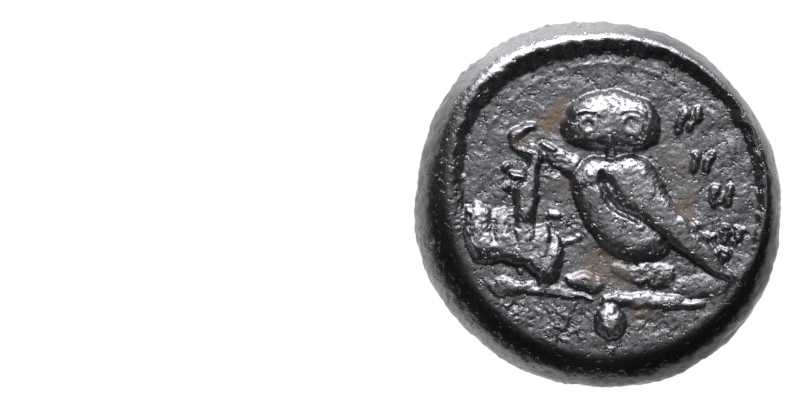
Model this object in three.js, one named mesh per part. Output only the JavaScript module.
// An onkia: a small, thick bronze coin, struck by hand on a cast flan, lying with its owl side up.
// Millimetres, +Z up. The origin is the middle of the underside's bounding box.

import * as THREE from 'three';

// The flan
const coinDiameter = 11.0;
const coinThickness = 2.0;
const widestHeight = 0.55;

// The outline isn't round: waves around it, as [waves in a turn, height in mm, angle of a peak in degrees]
const outlineWaves = [
  [2, 0.09, 136],
  [3, 0.02, 86],
  [4, 0.03, 38],
  [5, 0.02, 59],
  [6, 0.02, 11],
  [8, 0.02, 19],
];

// The owl side: its raised rim stands off centre and fades towards the foot of the design
const owlRimSetback = 0.88;
const owlRimOffset = [0.3, 0.3];
const owlRimBulge = 0.4;
const owlRimBulgeAngle = 138;
const owlRimBulgeHalfAngle = 50;
const owlRimNarrowSlope = 0.26;
const owlRimWideSlope = 0.52;
const owlRimWideSlopeAngle = 120;
const owlFieldDepth = 0.42;
const owlRimFade = 0.42;
const owlRimFadeAngle = 270;
const owlRimFadeHalfAngle = 65;

// The head side: a broad rim, worn flat, that the coin lies on
const headRimSetback = 0.36;
const headRimWidth = 0.5;
const headRimOffset = [0.05, 0.09];
const headRimSlopeWidth = 1.0;
const headFieldDepth = 0.37;

// The two dies were not lined up: the head side is turned by this much about the coin's axis, in degrees
const dieTurn = 300;

// Heights of the figures, and how far each stands above its field
const owlHeight = 5.9;
const owlRelief = 0.42;
const lizardHeight = 3.3;
const lizardRelief = 0.27;
const ledgeLength = 3.2;
const ledgeRelief = 0.27;
const groundLineLength = 6.4;
const groundLineRelief = 0.14;
const pelletDiameter = 0.82;
const pelletRelief = 0.3;
const strokeGroupHeight = 4.6;
const strokeRelief = 0.12;
const borderLineRadius = 4.05;
const borderLineWidth = 0.16;
const borderLineRelief = 0.03;
const headHeight = 5.4;
const headRelief = 0.37;

// How finely the solid is faceted
const sectors = 96;
const shoulderSteps = 5;
const undercutSteps = 3;
const curveSteps = 14;
const firstSpacing = 0.55;
const sampleSpacing = 0.06;
const closestSpacing = 0.08;
const owlSidePoints = 2650;
const headSidePoints = 1450;
const refiningRounds = 9;

const { cos, sin, hypot, min, max, abs, PI } = Math;
const radians = THREE.MathUtils.degToRad;
const { lerp, clamp, smoothstep, euclideanModulo } = THREE.MathUtils;

// Figures. Each is drawn on its own sheet of squares, centred on the face, and scaled by its height.
// A form is a list of [across, up, half-width, share of the relief] along its middle line, in squares.

const owlSquares = 59;
const owlForms = {
  breast: [
    [0, 2.6, 8.2, 0.8], [1, 0.5, 8.4, 0.78], [4, -4, 8.8, 0.8], [9.5, -9, 8, 0.75], [15, -11.5, 5.5, 0.55],
  ],
  shoulders: [[-4.4, 7.2, 4.4, 0.78], [-1.5, 9, 4.8, 0.82], [3.5, 10, 4.9, 0.9], [9.5, 9, 5.6, 0.9]],
  wing: [
    [9, 7.5, 8, 0.95], [11.2, 4.6, 8, 0.96], [15.8, -0.2, 6.1, 0.96], [19.4, -4.2, 5.3, 0.94],
    [22.3, -6.6, 4.7, 0.9],
  ],
  tail: [
    [22.3, -6.6, 4.7, 0.9], [26.3, -10.6, 4.3, 0.82], [30.8, -14.8, 3.4, 0.65], [36, -19.8, 2, 0.5],
    [40, -21.8, 0.8, 0.3],
  ],
  crown: [[-3.5, 24.8, 7.4, 0.88], [3, 26.9, 7.5, 0.93], [10, 24.8, 7.6, 0.93]],
  head: [[-3.4, 23.6, 7.8, 0.88], [3, 23.9, 8, 0.92], [10, 23.3, 8.3, 0.92]],
  leftBrow: [[-7.5, 26.4, 1.3, 0.9], [-4, 28, 1.5, 0.96], [0, 26.7, 1.4, 0.96], [2, 25.3, 1.2, 0.95]],
  rightBrow: [[2, 25.3, 1.2, 0.95], [4.5, 26.8, 1.4, 0.96], [9, 28, 1.5, 0.96], [13.5, 26.6, 1.3, 0.92]],
  beak: [[2.8, 22.2, 1.6, 0.97], [3, 18.6, 2.2, 0.95], [3.1, 15, 1.4, 0.75]],
  rightLeg: [[6, -18.8, 2.6, 0.12], [11, -20, 3.8, 0.18], [16, -21, 4, 0.2], [19.5, -21.2, 3.6, 0.18]],
  leftFoot: [[-8.5, -22.6, 1.6, 0.3], [-5, -22.4, 2.8, 0.55], [-1.5, -24, 2.4, 0.5]],
  raisedLeg: [[-8, 11.5, 3.6, 0.3], [-11, 13, 3.2, 0.25], [-14, 14.8, 2.4, 0.22]],
  claws: [[-16.4, 17.8, 1.2, 0.26], [-13.6, 16.6, 1.3, 0.28]],
};
const owlGrooves = {
  footEnd: [[21.5, -17, 0.9, 0.1], [24, -20, 1.1, 0.15], [22.5, -24, 0.9, 0.1]],
  wingEdge: [
    [0.2, 9.6, 0.9, 0.3], [0.8, 6, 1.2, 0.42], [2.4, 1.8, 1.3, 0.45], [6.2, -1.8, 1.3, 0.45],
    [11.5, -4.8, 1.1, 0.35],
  ],
  wingBack: [
    [16.9, 11, 0.8, 0.25], [18.2, 7.5, 1, 0.32], [20.4, 2.8, 1, 0.32], [24.4, -2.2, 0.9, 0.28],
    [28.4, -6.6, 0.8, 0.18],
  ],
  breastSide: [
    [-8.6, 4, 0.9, 0.2], [-8, 0, 1.1, 0.3], [-5.8, -4.2, 1.2, 0.32], [-2.8, -9, 1.3, 0.35],
    [0, -13, 1.4, 0.35], [4, -16, 1.3, 0.3], [10, -17.8, 1.2, 0.25],
  ],
  underHead: [
    [-9, 17, 1.8, 0.3], [-3, 16.8, 1.9, 0.35], [1.5, 14.8, 1.6, 0.3], [3.3, 13.6, 1, 0.3],
    [6, 15.5, 1.4, 0.3], [12, 15.3, 1.8, 0.35], [16.5, 17, 1.5, 0.3],
  ],
  headSide: [
    [15.5, 30.5, 0.7, 0.12], [17.8, 27.5, 0.8, 0.18], [19, 23.5, 0.9, 0.2], [18.5, 19.5, 0.9, 0.2],
    [16.5, 16.5, 0.9, 0.2],
  ],
};
// Each eye is a round hollow with a ring in it: [across, up, hollow radius, ring radius]
const owlEyes = [[-3.4, 23.8, 5, 2.2], [9.5, 23.9, 5.4, 2.7]];
const eyeHollowShare = 0.06;
const eyeRingShare = 0.08;
const eyeRingHalfWidth = 0.9;

const lizardSquares = 33;
const lizardForms = {
  body: [
    [-22.6, -11, 3.4, 0.95], [-22.4, -6, 3.6, 0.95], [-22, -2, 3.6, 1], [-21.8, 2, 3.5, 1],
    [-21, 6.5, 3.1, 1], [-20, 10, 2.6, 0.95], [-19.4, 13.5, 2.1, 0.9],
  ],
  nape: [[-23.4, 16, 1.5, 0.6], [-20.5, 15.8, 2.2, 0.95], [-18.6, 14.4, 2, 0.85]],
  curl: [
    [-23.4, 15.6, 1.3, 0.6], [-25.6, 18, 1.4, 0.6], [-25.2, 20.6, 1.5, 0.7], [-22.6, 22.4, 1.7, 0.75],
    [-20, 23.2, 1.3, 0.5],
  ],
  upperLeg: [[-27, 11.5, 1.1, 0.5], [-28, 11, 1.2, 0.5]],
  middleLeg: [[-21.5, 7.8, 1.2, 0.8], [-25.5, 9.5, 1, 0.7]],
  lowerLeg: [[-26.8, 5.2, 1.3, 0.5], [-28, 5.2, 1.1, 0.4]],
  foot: [[-25.5, -3.2, 1, 0.5], [-29, -3, 1.3, 0.6]],
};
const lizardGrooves = {
  rightSide: [
    [-17.4, 11, 1, 0.35], [-17.2, 6, 1.4, 0.45], [-17, 2, 1.7, 0.5], [-17.2, -3, 1.6, 0.4],
    [-18, -6, 1.2, 0.15],
  ],
  underNape: [[-25.5, 14.8, 1.1, 0.4], [-23.5, 12.8, 1.2, 0.5], [-21.8, 11.5, 0.8, 0.3]],
  underOwlLeg: [[-17, 5.6, 1.1, 0.45], [-14.5, 6, 1.2, 0.45], [-12, 6.2, 0.9, 0.35]],
  underCurl: [[-23, 20.4, 0.9, 0.3], [-20.5, 21.6, 1.1, 0.45], [-18.8, 22, 0.8, 0.3]],
};

// The rough ledge that enters the field from the left rim, rising towards its lower edge
const ledgeSquares = 32;
const ledgeForms = {
  farRamp: [[-45, -3, 4.5, 0.9], [-42.5, -7, 4.5, 0.95], [-40, -11, 4.5, 1]],
  leftRamp: [[-36, -4, 4.6, 0.75], [-35.5, -8, 5, 0.9], [-34.5, -11.5, 5, 1]],
  middleRamp: [[-29, -5.5, 4.4, 0.7], [-28.5, -9, 5, 0.88], [-28, -12, 5, 1]],
  lizardRamp: [[-22.8, -6.5, 4, 0.7], [-22.6, -9.5, 4.6, 0.88], [-22.4, -13.4, 4.8, 1]],
  rightRamp: [[-17.5, -9, 3.4, 0.6], [-17.5, -12, 4, 0.8], [-18, -16, 4.2, 1]],
  edge: [
    [-43, -9.5, 5, 1], [-38.5, -11.4, 5.2, 1], [-34, -12.4, 5.4, 1], [-29, -13, 5.6, 1],
    [-24, -14.3, 5.6, 1], [-19.5, -16.6, 5.2, 1], [-16, -20, 4, 0.9],
  ],
  end: [[-13.8, -11, 3, 0.3], [-14, -14.5, 3.6, 0.6], [-15.5, -18.5, 4, 0.9]],
  lump: [[-15.5, -2.6, 1.8, 0.2], [-13, -3.6, 1.5, 0.18]],
  bump: [[-6.5, -9.5, 1.4, 0.15], [-10, -11, 1.4, 0.12]],
  farStreak: [[-41.5, -12.5, 1.3, 0.3], [-38.5, -13.5, 1.2, 0.3]],
};

const groundLineSquares = 64;
const groundForms = {
  leftLine: [
    [-36, -25, 2, 0.25], [-30, -24.6, 2.9, 0.55], [-24, -24.2, 3, 0.8], [-17, -25, 2.6, 0.75],
    [-9, -26.4, 2.1, 0.65], [-3, -27.6, 1.4, 0.4],
  ],
  rightLine: [
    [2, -28, 1.6, 0.6], [7, -28.2, 2.2, 0.8], [15, -28.7, 2.5, 0.9], [23, -29.4, 2.3, 0.85],
    [30, -30, 1.6, 0.5],
  ],
  bank: [[24, -24.5, 3, 0.3], [31, -24.3, 3.4, 0.35], [37.5, -23, 3, 0.4]],
};
const groundGrooves = {
  underLedge: [
    [-34, -18.2, 1.8, 0.4], [-29, -19, 2.6, 0.7], [-23.5, -20.4, 2.6, 0.7], [-19, -22.6, 1.8, 0.5],
  ],
  underLeft: [[-23, -26.8, 0.8, 0.4], [-17, -26.9, 1, 0.6], [-9, -28.6, 1, 0.6], [-2, -28.9, 0.8, 0.4]],
  underRight: [[12, -30.8, 0.7, 0.3], [19, -31, 1, 0.5], [26, -31.3, 0.8, 0.3]],
  underFoot: [[-7.5, -25.6, 0.8, 0.3], [-4, -26.4, 1, 0.5], [0, -27, 0.8, 0.3]],
};

const pelletSquares = 8.2;
const pelletForms = {
  ball: [[2.8, -32.4, 3.6, 0.4], [3.1, -34, 4.4, 0.75], [3.3, -35.6, 4.5, 1]],
};

// Worn strokes in four groups down the right side, and lumps between them and the tail
const strokeSquares = 46;
const strokeForms = {
  first: [[23.4, 22.4, 1.2, 0.6], [25.2, 27, 1.4, 1]],
  second: [[27.4, 23, 1.3, 0.7], [29.4, 28, 1.4, 1]],
  third: [[27.4, 10.4, 1.2, 0.6], [28.8, 15, 1.4, 1]],
  fourth: [[31.6, 10.2, 1.3, 0.7], [33.2, 15.2, 1.4, 1]],
  fifth: [[33.6, 0.6, 1.2, 0.6], [34.4, 4.6, 1.4, 1]],
  sixth: [[37.8, 0.4, 1.2, 0.7], [38.6, 4.8, 1.4, 1]],
  seventh: [[37.2, -10.4, 1.3, 0.6], [37.6, -7, 1.5, 0.9]],
  eighth: [[41.2, -10.6, 1.3, 0.6], [41.6, -7.2, 1.5, 0.9]],
  upperLump: [[28, -6, 1.2, 0.6], [29.5, -6.3, 1.1, 0.6]],
  middleLump: [[31, -9.5, 1.2, 0.7], [34.2, -9.3, 1.1, 0.7]],
  lowerLump: [[35, -13, 1.1, 0.6], [38, -15, 1.5, 0.7]],
};
const strokeGrooves = {
  upperPit: [[28, -8, 1.2, 0.8], [29, -8.3, 1, 0.7]],
  lowerPit: [[33, -12, 1, 0.7], [35, -12.6, 0.9, 0.6]],
};

const headSquares = 54;
const headForms = {
  face: [
    [-6, 12, 6.5, 0.6], [-5.5, 5, 7.3, 0.6], [-6.5, -2, 7.5, 0.62], [-6.5, -9, 7.4, 0.62],
    [-6, -15, 6.6, 0.6], [-6, -18.5, 5, 0.56],
  ],
  cheek: [[1, 4, 11, 0.7], [-1.5, -4, 10.5, 0.8], [-3.5, -10.5, 8, 0.74]],
  jaw: [[-8, -18.8, 4, 0.56], [-1, -17.8, 5, 0.6], [5, -12, 6, 0.62], [8, -4, 6.5, 0.62]],
  nose: [[-11.3, 7, 2, 0.6], [-13.3, 0.5, 2.7, 0.64], [-15.2, -4.6, 3.1, 0.64]],
  upperLip: [[-14, -10.4, 1.6, 0.62], [-9.5, -11.2, 1.2, 0.7]],
  lowerLip: [[-13.4, -13.9, 1.7, 0.62], [-9.5, -13.4, 1.2, 0.7]],
  chin: [[-10.6, -19.4, 3.3, 0.62], [-8, -19.8, 3.3, 0.62]],
  browRidge: [[-13, 8.6, 1.5, 0.66], [-8.5, 9.5, 1.7, 0.74], [-3, 8, 1.4, 0.72]],
  neck: [[7.5, -6, 8.5, 0.56], [8.5, -15, 8, 0.58], [9.5, -24, 9.5, 0.62]],
  bowl: [[-3, 22.5, 5.5, 0.8], [4, 20.5, 8.5, 0.95], [12, 17, 10, 1], [16, 12.5, 9.5, 0.95]],
  nape: [[21, 13, 8.5, 0.8], [23.5, 4, 7, 0.72], [22, -5, 5, 0.56], [18.5, -9, 3, 0.4]],
  hair: [[11, 8, 6, 0.72], [16, 2, 7, 0.68], [16, -5, 5.5, 0.56], [14, -9, 4, 0.5]],
  visor: [[-10.5, 15.8, 1.6, 0.8], [-4, 13.4, 2.2, 0.92], [1, 10.6, 2.2, 0.92], [6, 7.5, 1.6, 0.85]],
  boss: [[9.7, 2.5, 2.8, 0.84], [9.8, 2.6, 2.8, 0.84]],
  crest: [
    [4, 32, 1.4, 0.15], [13, 31.4, 2.2, 0.25], [21, 28.6, 2.8, 0.28], [28, 24, 3.4, 0.28],
    [32.5, 17, 3.8, 0.28], [34, 8, 3.6, 0.24], [33, -1, 2.8, 0.18], [29.5, -7, 1.6, 0.1],
  ],
  crestLine: [[6, 32.5, 0.8, 0.3], [14, 31.8, 0.9, 0.36], [23.5, 28.4, 0.8, 0.3]],
};
const headGrooves = {
  visorGroove: [[-9, 19.5, 1.2, 0.25], [-1, 16, 1.3, 0.3], [5, 12.3, 1.3, 0.3], [10, 8, 1.1, 0.2]],
  eyeSocket: [[-12.5, 4.6, 1.2, 0.12], [-8.5, 5.2, 3, 0.2], [-4.5, 4.6, 1.4, 0.1]],
  mouthLine: [[-15.5, -12.3, 0.6, 0.14], [-9, -12.3, 0.5, 0.08]],
  napeLine: [[13, 7, 0.9, 0.12], [15, 2, 1, 0.14], [14.5, -4, 0.9, 0.12]],
};
const eyeballForms = {
  eyeball: [[-11, 4.6, 0.7, 0.1], [-8.6, 4.9, 1.8, 0.16], [-5.6, 4.6, 0.6, 0.08]],
};

// A form's side falls as (1 - r^flatness)^roundness. The forms named here have flatter tops than the others.
const roundness = 0.9;
const usualFlatness = 2;
const flatness = {
  breast: 2.5,
  wing: 3,
  tail: 3,
  head: 3,
  body: 3,
  ball: 3,
  face: 3,
  jaw: 3,
  neck: 3,
  hair: 3,
};

// Curves. A line of points becomes short straight steps, smooth through the points.

function smoothSteps(line, square) {
  const points = line.map(([across, up, halfWidth]) => new THREE.Vector3(across, up, halfWidth));
  const curve = new THREE.CatmullRomCurve3(points, false, 'centripetal');
  return Array.from({ length: curveSteps + 1 }, (_, step) => {
    const share = step / curveSteps;
    const point = curve.getPoint(share).multiplyScalar(square);
    const place = share * (line.length - 1);
    const before = min(Math.floor(place), line.length - 2);
    const relief = lerp(line[before][3], line[before + 1][3], place - before);
    return { x: point.x, y: point.y, halfWidth: point.z, relief };
  });
}

// How high a rounded form along the steps stands at a point, as a share of the figure's relief
function roundedForm({ steps, topFlatness }, x, y) {
  let highest = 0;
  for (let index = 1; index < steps.length; index++) {
    const start = steps[index - 1];
    const end = steps[index];
    const along = [end.x - start.x, end.y - start.y];
    const length = along[0] ** 2 + along[1] ** 2;
    const share = clamp(((x - start.x) * along[0] + (y - start.y) * along[1]) / length, 0, 1);
    const away = hypot(x - start.x - share * along[0], y - start.y - share * along[1]);
    const ratio = away / lerp(start.halfWidth, end.halfWidth, share);
    if (ratio < 1) {
      const side = (1 - ratio ** topFlatness) ** roundness;
      highest = max(highest, lerp(start.relief, end.relief, share) * side);
    }
  }
  return highest;
}

// A figure's forms as one function of the point, each form's own box tested first
function figure(forms, square, relief) {
  const prepared = Object.entries(forms).map(([name, line]) => {
    const steps = smoothSteps(line, square);
    const box = new THREE.Box2();
    for (const step of steps) {
      const reach = new THREE.Vector2(step.halfWidth, step.halfWidth);
      box.expandByPoint(new THREE.Vector2(step.x, step.y).add(reach));
      box.expandByPoint(new THREE.Vector2(step.x, step.y).sub(reach));
    }
    return { steps, box, topFlatness: flatness[name] ?? usualFlatness };
  });
  return (x, y) => {
    const point = new THREE.Vector2(x, y);
    const reached = prepared.filter(({ box }) => box.containsPoint(point));
    return relief * reached.reduce((highest, form) => max(highest, roundedForm(form, x, y)), 0);
  };
}

// The flan's outline and the rims, as radii at an angle about the coin's axis

function outlineRadius(angle) {
  const wave = ([waves, height, peak]) => height * cos(waves * (angle - radians(peak)));
  return outlineWaves.reduce((radius, entry) => radius + wave(entry), coinDiameter / 2);
}

// The radius, at an angle, of a circle that stands off centre
function offsetCircle(radius, [x, y], angle) {
  const along = x * cos(angle) + y * sin(angle);
  const across = x * sin(angle) - y * cos(angle);
  return along + Math.sqrt(radius ** 2 - across ** 2);
}

// The owl side's crest is such a circle with one broad bulge towards the upper left
function owlCrestRadius(angle) {
  const fromBulge = euclideanModulo(THREE.MathUtils.radToDeg(angle) - owlRimBulgeAngle + 180, 360) - 180;
  const bulge = owlRimBulge * (1 - smoothstep(abs(fromBulge), 0, owlRimBulgeHalfAngle));
  return offsetCircle(coinDiameter / 2 - owlRimSetback, owlRimOffset, angle) + bulge;
}

const headRimOuter = (angle) => offsetCircle(coinDiameter / 2 - headRimSetback, headRimOffset, angle);
const headRimInner = (angle) => headRimOuter(angle) - headRimWidth;

function owlCrestHeight(angle) {
  const share = 1 + cos(angle - radians(owlRimFadeAngle));
  const whole = 1 + cos(radians(owlRimFadeHalfAngle));
  return coinThickness - owlRimFade * min(share / whole, 1);
}

// The owl side

const owlSquare = owlHeight / owlSquares;
const lizardSquare = lizardHeight / lizardSquares;
const groundSquare = groundLineLength / groundLineSquares;
const strokeSquare = strokeGroupHeight / strokeSquares;
const owlFigures = [
  figure(owlForms, owlSquare, owlRelief),
  figure(lizardForms, lizardSquare, lizardRelief),
  figure(ledgeForms, ledgeLength / ledgeSquares, ledgeRelief),
  figure(groundForms, groundSquare, groundLineRelief),
  figure(pelletForms, pelletDiameter / pelletSquares, pelletRelief),
  figure(strokeForms, strokeSquare, strokeRelief),
];
const owlSideCuts = [
  figure(owlGrooves, owlSquare, owlRelief),
  figure(lizardGrooves, lizardSquare, lizardRelief),
  figure(groundGrooves, groundSquare, groundLineRelief),
  figure(strokeGrooves, strokeSquare, strokeRelief),
];

// The hollow and the ring of each eye, added to the owl's head
function owlEyeCarving(x, y) {
  let carving = 0;
  for (const [across, up, hollowRadius, ringRadius] of owlEyes) {
    const away = hypot(x - across * owlSquare, y - up * owlSquare) / owlSquare;
    const hollow = 1 - smoothstep(away, 0, hollowRadius);
    const ring = max(0, 1 - ((away - ringRadius) / eyeRingHalfWidth) ** 2);
    carving += owlRelief * (eyeRingShare * ring - eyeHollowShare * hollow);
  }
  return carving;
}

// A faint raised line that follows the rim
function borderLine(x, y) {
  const away = hypot(x - owlRimOffset[0] / 2, y - owlRimOffset[1] / 2) - borderLineRadius;
  const upperPart = smoothstep(y, 0, borderLineRadius / 2);
  return borderLineRelief * upperPart * max(0, 1 - (away / (borderLineWidth / 2)) ** 2);
}

// The slope from the crest to the field is widest near the top of the design
function owlSlopeWidth(angle) {
  const share = ((1 + cos(angle - radians(owlRimWideSlopeAngle))) / 2) ** 2;
  return lerp(owlRimNarrowSlope, owlRimWideSlope, share);
}

function owlSideHeight(x, y) {
  const angle = Math.atan2(y, x);
  const fromCrest = owlCrestRadius(angle) - hypot(x, y);
  const field = coinThickness - owlFieldDepth;
  const rim = owlCrestHeight(angle) - field;
  const slope = 1 - smoothstep(fromCrest, 0, owlSlopeWidth(angle));
  const raised = owlFigures.reduce((highest, figureHeight) => max(highest, figureHeight(x, y)), 0);
  const cuts = owlSideCuts.reduce((depth, cutDepth) => depth + cutDepth(x, y), 0);
  const figures = max(raised, borderLine(x, y)) - cuts + owlEyeCarving(x, y);
  return field + max(rim * slope, figures * (1 - slope));
}

// The head side, in its own directions: seen from below, with the head upright

const headSquare = headHeight / headSquares;
const headRaised = figure(headForms, headSquare, headRelief);
const headCuts = figure(headGrooves, headSquare, headRelief);
const eyeball = figure(eyeballForms, headSquare, headRelief);
const truncationCentre = [9, 8];
const truncationRadius = 41;

// The neck ends in a sharp curved cut
function aboveNeckCut(across, up) {
  const away = hypot(across - truncationCentre[0] * headSquare, up - truncationCentre[1] * headSquare);
  return away < truncationRadius * headSquare;
}

function headFigure(across, up) {
  if (!aboveNeckCut(across, up)) {
    return 0;
  }
  return max(0, headRaised(across, up) - headCuts(across, up) + eyeball(across, up));
}

// Height of the underside over the plane that the coin lies on
function headSideHeight(x, y) {
  const turn = radians(dieTurn);
  const across = x * cos(turn) + y * sin(turn);
  const up = x * sin(turn) - y * cos(turn);
  const fromRim = headRimInner(Math.atan2(y, x)) - hypot(x, y);
  const hollow = smoothstep(fromRim, 0, headRimSlopeWidth);
  return hollow * (headFieldDepth - headFigure(across, up));
}

// Triangulation of a face: a Delaunay net, made finer where the flat triangles miss the surface most

// A triangle with the circle through its corners
function circledTriangle(points, corners) {
  const [[ax, ay], [bx, by], [cx, cy]] = corners.map((corner) => points[corner]);
  const doubleArea = 2 * ((bx - ax) * (cy - ay) - (by - ay) * (cx - ax));
  const toB = (bx - ax) ** 2 + (by - ay) ** 2;
  const toC = (cx - ax) ** 2 + (cy - ay) ** 2;
  const x = ((cy - ay) * toB - (by - ay) * toC) / doubleArea;
  const y = ((bx - ax) * toC - (cx - ax) * toB) / doubleArea;
  return { corners, x: ax + x, y: ay + y, radiusSquared: x * x + y * y };
}

// Directed edges of the removed triangles that no other removed triangle shares
function openEdges(removed) {
  const edges = new Map();
  for (const { corners: [a, b, c] } of removed) {
    for (const [from, to] of [[a, b], [b, c], [c, a]]) {
      if (!edges.delete(`${to},${from}`)) {
        edges.set(`${from},${to}`, [from, to]);
      }
    }
  }
  return [...edges.values()];
}

// The boundary's points, which lie on one circle, come first in the list and go in last
function delaunay(points) {
  const far = 100 * coinDiameter;
  const count = points.length;
  const all = [...points, [-far, -far], [far, -far], [0, far]];
  let triangles = [circledTriangle(all, [count, count + 1, count + 2])];
  for (let index = count - 1; index >= 0; index--) {
    const [x, y] = all[index];
    const removed = [];
    const kept = [];
    for (const triangle of triangles) {
      const inCircle = (x - triangle.x) ** 2 + (y - triangle.y) ** 2 < triangle.radiusSquared;
      (inCircle ? removed : kept).push(triangle);
    }
    for (const [from, to] of openEdges(removed)) {
      kept.push(circledTriangle(all, [from, to, index]));
    }
    triangles = kept;
  }
  return triangles.map(({ corners }) => corners).filter((corners) => max(...corners) < count);
}

// Rows of points a spacing apart inside a boundary, with every other row shifted by half a spacing.
// A small regular shake keeps four neighbours off one circle.
function staggeredPoints(spacing, boundary) {
  const rowSpacing = spacing * Math.sqrt(3) / 2;
  const rows = Math.ceil(coinDiameter / 2 / rowSpacing);
  const columns = Math.ceil(coinDiameter / 2 / spacing);
  const shake = spacing / 20;
  const points = [];
  for (let row = -rows; row <= rows; row++) {
    for (let column = -columns; column <= columns; column++) {
      const x = (column + (row % 2) / 2) * spacing + shake * sin(12.9 * row + 78.2 * column);
      const y = row * rowSpacing + shake * cos(39.3 * row + 11.1 * column);
      if (hypot(x, y) < boundary(Math.atan2(y, x)) - closestSpacing) {
        points.push([x, y]);
      }
    }
  }
  return points;
}

// Samples in square bins, so that a triangle only looks at the samples near it
function binned(samples, size) {
  const bins = new Map();
  for (const sample of samples) {
    const key = `${Math.floor(sample[0] / size)},${Math.floor(sample[1] / size)}`;
    bins.set(key, [...(bins.get(key) ?? []), sample]);
  }
  return bins;
}

function samplesNear(bins, size, corners) {
  const [low, high] = [min, max].map((pick) => [0, 1].map((axis) => {
    return Math.floor(pick(...corners.map((corner) => corner[axis])) / size);
  }));
  const found = [];
  for (let column = low[0]; column <= high[0]; column++) {
    for (let row = low[1]; row <= high[1]; row++) {
      found.push(...(bins.get(`${column},${row}`) ?? []));
    }
  }
  return found;
}

// Shares of the three corners at a point, all positive when the point is inside the triangle
function cornerShares([a, b, c], x, y) {
  const area = (b[0] - a[0]) * (c[1] - a[1]) - (b[1] - a[1]) * (c[0] - a[0]);
  const shareB = ((x - a[0]) * (c[1] - a[1]) - (y - a[1]) * (c[0] - a[0])) / area;
  const shareC = ((b[0] - a[0]) * (y - a[1]) - (b[1] - a[1]) * (x - a[0])) / area;
  return [1 - shareB - shareC, shareB, shareC];
}

// The sample in a triangle where the flat facet misses the surface most
function worstSample(corners, samples) {
  let worst = { miss: 0 };
  for (const sample of samples) {
    const shares = cornerShares(corners, sample[0], sample[1]);
    if (min(...shares) > 0) {
      const flat = shares.reduce((sum, share, index) => sum + share * corners[index][2], 0);
      const miss = abs(sample[2] - flat);
      if (miss > worst.miss) {
        worst = { miss, sample };
      }
    }
  }
  return worst;
}

// A face's points, as [x, y, height], and its triangles. The first points are the boundary's.
function refinedFace(height, boundary, wantedPoints) {
  const raise = ([x, y]) => [x, y, height(x, y)];
  const edge = Array.from({ length: sectors }, (_, sector) => {
    const angle = (sector / sectors) * 2 * PI;
    return raise([boundary(angle) * cos(angle), boundary(angle) * sin(angle)]);
  });
  const points = [...edge, ...staggeredPoints(firstSpacing, boundary).map(raise)];
  const binSize = 4 * sampleSpacing;
  const bins = binned(staggeredPoints(sampleSpacing, boundary).map(raise), binSize);
  let triangles = delaunay(points);
  for (let round = 1; round <= refiningRounds; round++) {
    const found = triangles.map((triangle) => {
      const corners = triangle.map((corner) => points[corner]);
      return worstSample(corners, samplesNear(bins, binSize, corners));
    });
    const ordered = found.filter(({ miss }) => miss > 0).sort((one, other) => other.miss - one.miss);
    const room = Math.ceil((wantedPoints - points.length) / (refiningRounds + 1 - round));
    let added = 0;
    for (const { sample } of ordered) {
      const clear = (point) => hypot(point[0] - sample[0], point[1] - sample[1]) > closestSpacing;
      if (added < room && points.every(clear)) {
        points.push(sample);
        added++;
      }
    }
    triangles = delaunay(points);
  }
  return { points, triangles };
}

// The edge of the coin: rings of points from the owl side's crest down to the head side's flat rim

function ring(radius, height) {
  return Array.from({ length: sectors }, (_, sector) => {
    const angle = (sector / sectors) * 2 * PI;
    return [radius(angle) * cos(angle), radius(angle) * sin(angle), height(angle)];
  });
}

// The shoulder falls from the crest to the widest line as a quarter of an ellipse
function shoulderRing(step) {
  const turn = (step / shoulderSteps) * (PI / 2);
  return ring(
    (angle) => lerp(owlCrestRadius(angle), outlineRadius(angle), sin(turn)),
    (angle) => lerp(widestHeight, owlCrestHeight(angle), cos(turn)),
  );
}

// Below the widest line the edge turns in, to the rim that the coin lies on
function undercutRing(step) {
  const turn = (step / undercutSteps) * (PI / 2);
  return ring(
    (angle) => lerp(headRimOuter(angle), outlineRadius(angle), cos(turn)),
    () => widestHeight * (1 - sin(turn)),
  );
}

function edgeRings() {
  const shoulder = Array.from({ length: shoulderSteps }, (_, index) => shoulderRing(index + 1));
  const undercut = Array.from({ length: undercutSteps }, (_, index) => undercutRing(index + 1));
  return [...shoulder, ...undercut];
}

// The whole coin as one closed mesh

// Two triangles for each step around, between one ring's first vertex number and the next one's
function bandTriangles(upper, lower) {
  const triangles = [];
  for (let sector = 0; sector < sectors; sector++) {
    const next = (sector + 1) % sectors;
    triangles.push([upper + sector, lower + sector, lower + next]);
    triangles.push([upper + sector, lower + next, upper + next]);
  }
  return triangles;
}

function coinGeometry() {
  const owlSide = refinedFace(owlSideHeight, owlCrestRadius, owlSidePoints);
  const headSide = refinedFace(headSideHeight, headRimInner, headSidePoints);
  const rings = edgeRings();
  const points = [...owlSide.points];
  const triangles = [...owlSide.triangles];
  let upper = 0;
  for (const edgeRing of rings) {
    triangles.push(...bandTriangles(upper, points.length));
    upper = points.length;
    points.push(...edgeRing);
  }
  const headStart = points.length;
  triangles.push(...bandTriangles(upper, headStart));
  points.push(...headSide.points);
  triangles.push(...headSide.triangles.map(([a, b, c]) => [headStart + a, headStart + c, headStart + b]));
  const geometry = new THREE.BufferGeometry();
  geometry.setAttribute('position', new THREE.Float32BufferAttribute(points.flat(), 3));
  geometry.setIndex(triangles.flat());
  geometry.computeBoundingBox();
  const middle = geometry.boundingBox.getCenter(new THREE.Vector3());
  geometry.translate(-middle.x, -middle.y, -geometry.boundingBox.min.z);
  geometry.computeVertexNormals();
  return geometry;
}

const bronze = new THREE.MeshStandardMaterial({ color: 0x4b4b4d, roughness: 0.5, metalness: 0.8 });

const coin = new THREE.Mesh(coinGeometry(), bronze);
coin.name = 'coin';

const onkia = new THREE.Group();
onkia.add(coin);

export default onkia;
